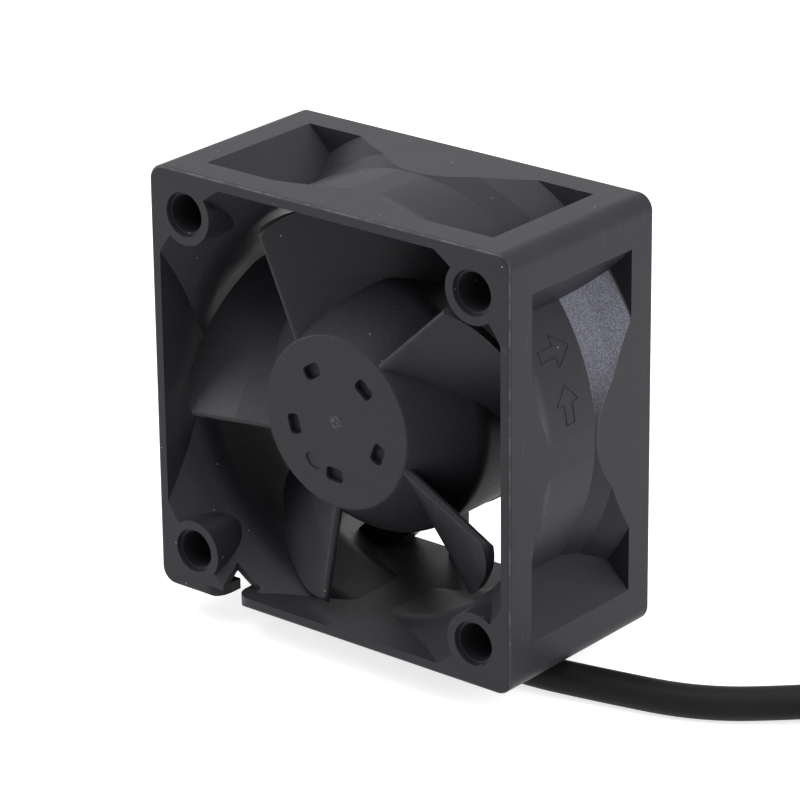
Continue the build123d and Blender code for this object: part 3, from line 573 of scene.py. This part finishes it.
lint_above = -0.0206
lint_grey = (0.4, 0.4, 0.4)
sleeve_finish = Finish("cord_sleeve_vinyl", (0.0075, 0.0066, 0.0068), 0.5)
point, (x, y, z) = sleeve_finish.place()
ripple = sleeve_finish.grain(point, 0.0012, 2.0)
skin = sleeve_finish.grain(point, 0.0002, 2.0)
lint = sleeve_finish.specks(point, 0.0008, 0.00007) * z.above(lint_above, lint_above + 0.0003)
sleeve_shade = sleeve_finish.shades(ripple, 0.8, 1.3)
sleeve_finish.set("Base Color", sleeve_finish.cover(lint * 0.8, sleeve_shade, lint_grey))
sleeve_finish.set("Roughness", 0.46 + 0.14 * ripple)
sleeve_finish.set("Normal", sleeve_finish.bump(ripple * 0.6 + skin * 0.4, 0.00001))
sleeve_finish.set("Specular IOR Level", 0.14)
sleeve_finish.on(cord_sleeve)
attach(cord_sleeve, "housing")
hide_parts("cord_jacket", "cord_coil")


# Cord tie
# A narrow nylon strap drawn tight round both turns of the coil, with its square locking
# head on the outer side and the tail cut off short.
tie_angle = -35
tie_width = 0.0026
strap_inside = cord_diameter / 2
strap_thickness = 0.0003
head_reach = 0.0014
head_height = 0.0021
head_length = 0.0032
tail_start = 0.2 * head_reach
tail_length = 0.0007
tail_thickness = 0.00035
outward = Vector((cos(radians(tie_angle)), sin(radians(tie_angle)), 0))
along_cord = Vector((-outward.y, outward.x, 0))
upward = Vector((0, 0, 1))
tie_middle = coil_middle + outward * turn_radius
tie_mesh = bmesh.new()
strap_steps = 48
strap_rings = []
for reach, shift in (
    (strap_inside, -tie_width / 2),
    (strap_inside + strap_thickness, -tie_width / 2),
    (strap_inside + strap_thickness, tie_width / 2),
    (strap_inside, tie_width / 2),
):
    ring = []
    for index in range(strap_steps):
        angle = tau * (index + 0.5) / strap_steps
        over = turn_pitch / 2 * (1 if cos(angle) > 0 else -1)
        place = tie_middle + outward * (over + reach * cos(angle)) + upward * (reach * sin(angle))
        ring.append(tie_mesh.verts.new(place + along_cord * shift))
    strap_rings.append(ring)
for ring, next_ring in zip(strap_rings, strap_rings[1:] + strap_rings[:1]):
    for index in range(strap_steps):
        after = (index + 1) % strap_steps
        tie_mesh.faces.new((ring[index], ring[after], next_ring[after], next_ring[index]))
head_start = turn_pitch / 2 + strap_inside + strap_thickness / 2
for start, reach, height, length in (
    (head_start, head_reach, head_height, head_length),
    (head_start + tail_start, tail_thickness, 2 * tail_length + head_height, tie_width),
):
    block = bmesh.ops.create_cube(tie_mesh, size=1.0)["verts"]
    for corner in block:
        across, side, up_share = corner.co
        place = tie_middle + outward * (start + reach * (across + 0.5)) + along_cord * (length * side)
        corner.co = place + upward * (height * up_share)
bmesh.ops.recalc_face_normals(tie_mesh, faces=tie_mesh.faces)
strap = bpy.data.meshes.new("nylon_tie")
tie_mesh.to_mesh(strap)
tie_mesh.free()
nylon_tie = bpy.data.objects.new("nylon_tie", strap)
bpy.context.scene.collection.objects.link(nylon_tie)
edge_round = nylon_tie.modifiers.new("edge_round", "BEVEL")
edge_round.width = 0.00008
edge_round.segments = 2
edge_round.limit_method = "ANGLE"
strap.shade_smooth()
sharp = nylon_tie.modifiers.new("flat_faces", "WEIGHTED_NORMAL")
sharp.keep_sharp = True

tooth_pitch = 0.0004
tie_finish = Finish("tie_nylon", (0.018, 0.018, 0.019), 0.38)
point, (x, y, z) = tie_finish.place()
skin = tie_finish.grain(point, 0.0003, 3.0)
teeth = z.stripes(tooth_pitch)
tie_finish.set("Base Color", tie_finish.shades(skin, 0.8, 1.3))
tie_finish.set("Roughness", 0.32 + 0.14 * skin)
tie_finish.set("Normal", tie_finish.bump(skin * 0.4 + teeth * 0.6, 0.00002))
tie_finish.on(nylon_tie)
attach(nylon_tie, "housing")
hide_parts("cord_tie")


# Wire ends
# The three coloured leads come out of the sleeve's cut end inside the coil and spread a
# little. Each is stripped and its strands are tinned.
wire_pitch = 0.00086
wire_diameter = 0.0008
end_wire_length = 0.0125
end_wire_angle = 80
end_wire_turn = 55
end_wire_spread = 7
end_wire_bow = 0.0004
held_length = 0.001
straight_length = 0.0012
end_start = coil_middle - Matrix.Rotation(radians(end_wire_angle), 3, "Z") @ leg_side * inner_turn
sleeve_end = coil_points[-1]
sleeve_way = (coil_points[-1] - coil_points[-2]).normalized()
for index, colour_name in enumerate(("red", "black", "yellow")):
    shift = (index - 1) * wire_pitch
    turn = end_wire_angle - end_wire_turn + (index - 1) * end_wire_spread
    heading = Matrix.Rotation(radians(turn), 3, "Z") @ leg_heading
    side = Vector((-heading.y, heading.x, 0))
    wire_start = end_start + side * shift
    bow = side * (end_wire_bow * (index - 1))
    wire_route = [
        sleeve_end - sleeve_way * held_length + side * shift * 0.7,
        sleeve_end + sleeve_way * straight_length + side * shift * 0.9,
        wire_start + heading * (0.45 * end_wire_length) + bow,
        wire_start + heading * (0.8 * end_wire_length) + bow * 0.3,
        wire_start + heading * end_wire_length,
    ]
    end_wire = tube_along("end_lead_" + colour_name, wire_route, wire_diameter, 4)
    lead_finishes[colour_name].on(end_wire)
    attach(end_wire, "housing")
    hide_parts("end_wire_" + colour_name)
tinned_finish.on(nodes["tinned_tips"])


# Floor, light and the photograph's view
# A pale floor at the level where the cord lies, three soft boxes and an even white room.
# Floor and room light the fan dimly, and show as white to the camera and in reflections.
# The floor is lifted by a glow that leaves the fan's shadow on it.
floor_level = -0.0231
floor_grey = (0.62, 0.62, 0.62)
floor_glow = (0.74, 0.74, 0.74, 1.0)
no_glow = (0.0, 0.0, 0.0, 1.0)
room_light = 0.26
room_shown = 1.0
floor_mesh = bpy.data.meshes.new("floor")
reach = 3.0
floor_corners = [(-reach, -reach), (reach, -reach), (reach, reach), (-reach, reach)]
floor_mesh.from_pydata([(x, y, floor_level) for x, y in floor_corners], [], [(0, 1, 2, 3)])
floor = bpy.data.objects.new("floor", floor_mesh)
bpy.context.scene.collection.objects.link(floor)
floor_finish = Finish("floor_white", floor_grey, 0.8)
paths = floor_finish.node("ShaderNodeLightPath").socket.node.outputs
camera_ray, glossy_ray, transmission_ray = (
    Signal(floor_finish, paths[ray]) for ray in ("Is Camera Ray", "Is Glossy Ray", "Is Transmission Ray")
)
seen = camera_ray.largest(glossy_ray).largest(transmission_ray)
lift = floor_finish.node(
    "ShaderNodeMix", {"data_type": "RGBA"}, {0: seen, 6: no_glow, 7: floor_glow}, output=2
)
floor_finish.set("Emission Color", lift)
floor_finish.set("Emission Strength", 1.0)
floor_finish.on(floor)

world = bpy.data.worlds.new("studio")
world.use_nodes = True
bpy.context.scene.world = world
sky = world.node_tree.nodes["Background"]
sky.inputs["Color"].default_value = (1.0, 1.0, 1.0, 1.0)
sky_nodes = world.node_tree.nodes
sky_links = world.node_tree.links
seen_sky = sky_nodes.new("ShaderNodeLightPath")
sky_strength = sky_nodes.new("ShaderNodeMix")
sky_strength.inputs[2].default_value = room_light
sky_strength.inputs[3].default_value = room_shown
shown = seen_sky.outputs["Is Camera Ray"]
for ray in ("Is Glossy Ray", "Is Transmission Ray"):
    either = sky_nodes.new("ShaderNodeMath")
    either.operation = "MAXIMUM"
    sky_links.new(shown, either.inputs[0])
    sky_links.new(seen_sky.outputs[ray], either.inputs[1])
    shown = either.outputs[0]
sky_links.new(shown, sky_strength.inputs[0])
sky_links.new(sky_strength.outputs[0], sky.inputs["Strength"])


def softbox(name, place, size, power):
    """A square lamp that looks at the fan's inlet, this wide in metres and this strong in watts."""
    lamp = bpy.data.lights.new(name, "AREA")
    lamp.shape = "SQUARE"
    lamp.size = size
    lamp.energy = power
    holder = bpy.data.objects.new(name, lamp)
    holder.location = place
    holder.rotation_euler = (-Vector(place)).to_track_quat("-Z", "Y").to_euler()
    bpy.context.scene.collection.objects.link(holder)


softbox("top_box", (-0.12, -0.15, 0.64), 0.6, 3.6)
softbox("left_box", (-0.6, -0.35, 0.2), 0.3, 2.2)
softbox("right_box", (0.7, 0.08, 0.4), 0.4, 4.6)

# The camera's place and axes come from a fit to the photograph's edges and screw holes
camera_data = bpy.data.cameras.new("photo_view")
camera_data.sensor_width = 36.0
camera_data.lens = 192.74
camera_data.clip_start = 0.01
camera = bpy.data.objects.new("photo_view", camera_data)
right = Vector((0.77414, 0.63293, -0.01015))
up = Vector((-0.22827, 0.29408, 0.92812))
back = Vector((0.59042, -0.71618, 0.37214))
place = Vector((0.222744, -0.260266, 0.139781))
camera.matrix_world = Matrix(
    (
        (right.x, up.x, back.x, place.x),
        (right.y, up.y, back.y, place.y),
        (right.z, up.z, back.z, place.z),
        (0.0, 0.0, 0.0, 1.0),
    )
)
bpy.context.scene.collection.objects.link(camera)
bpy.context.scene.camera = camera
bpy.context.scene.view_settings.view_transform = "Standard"
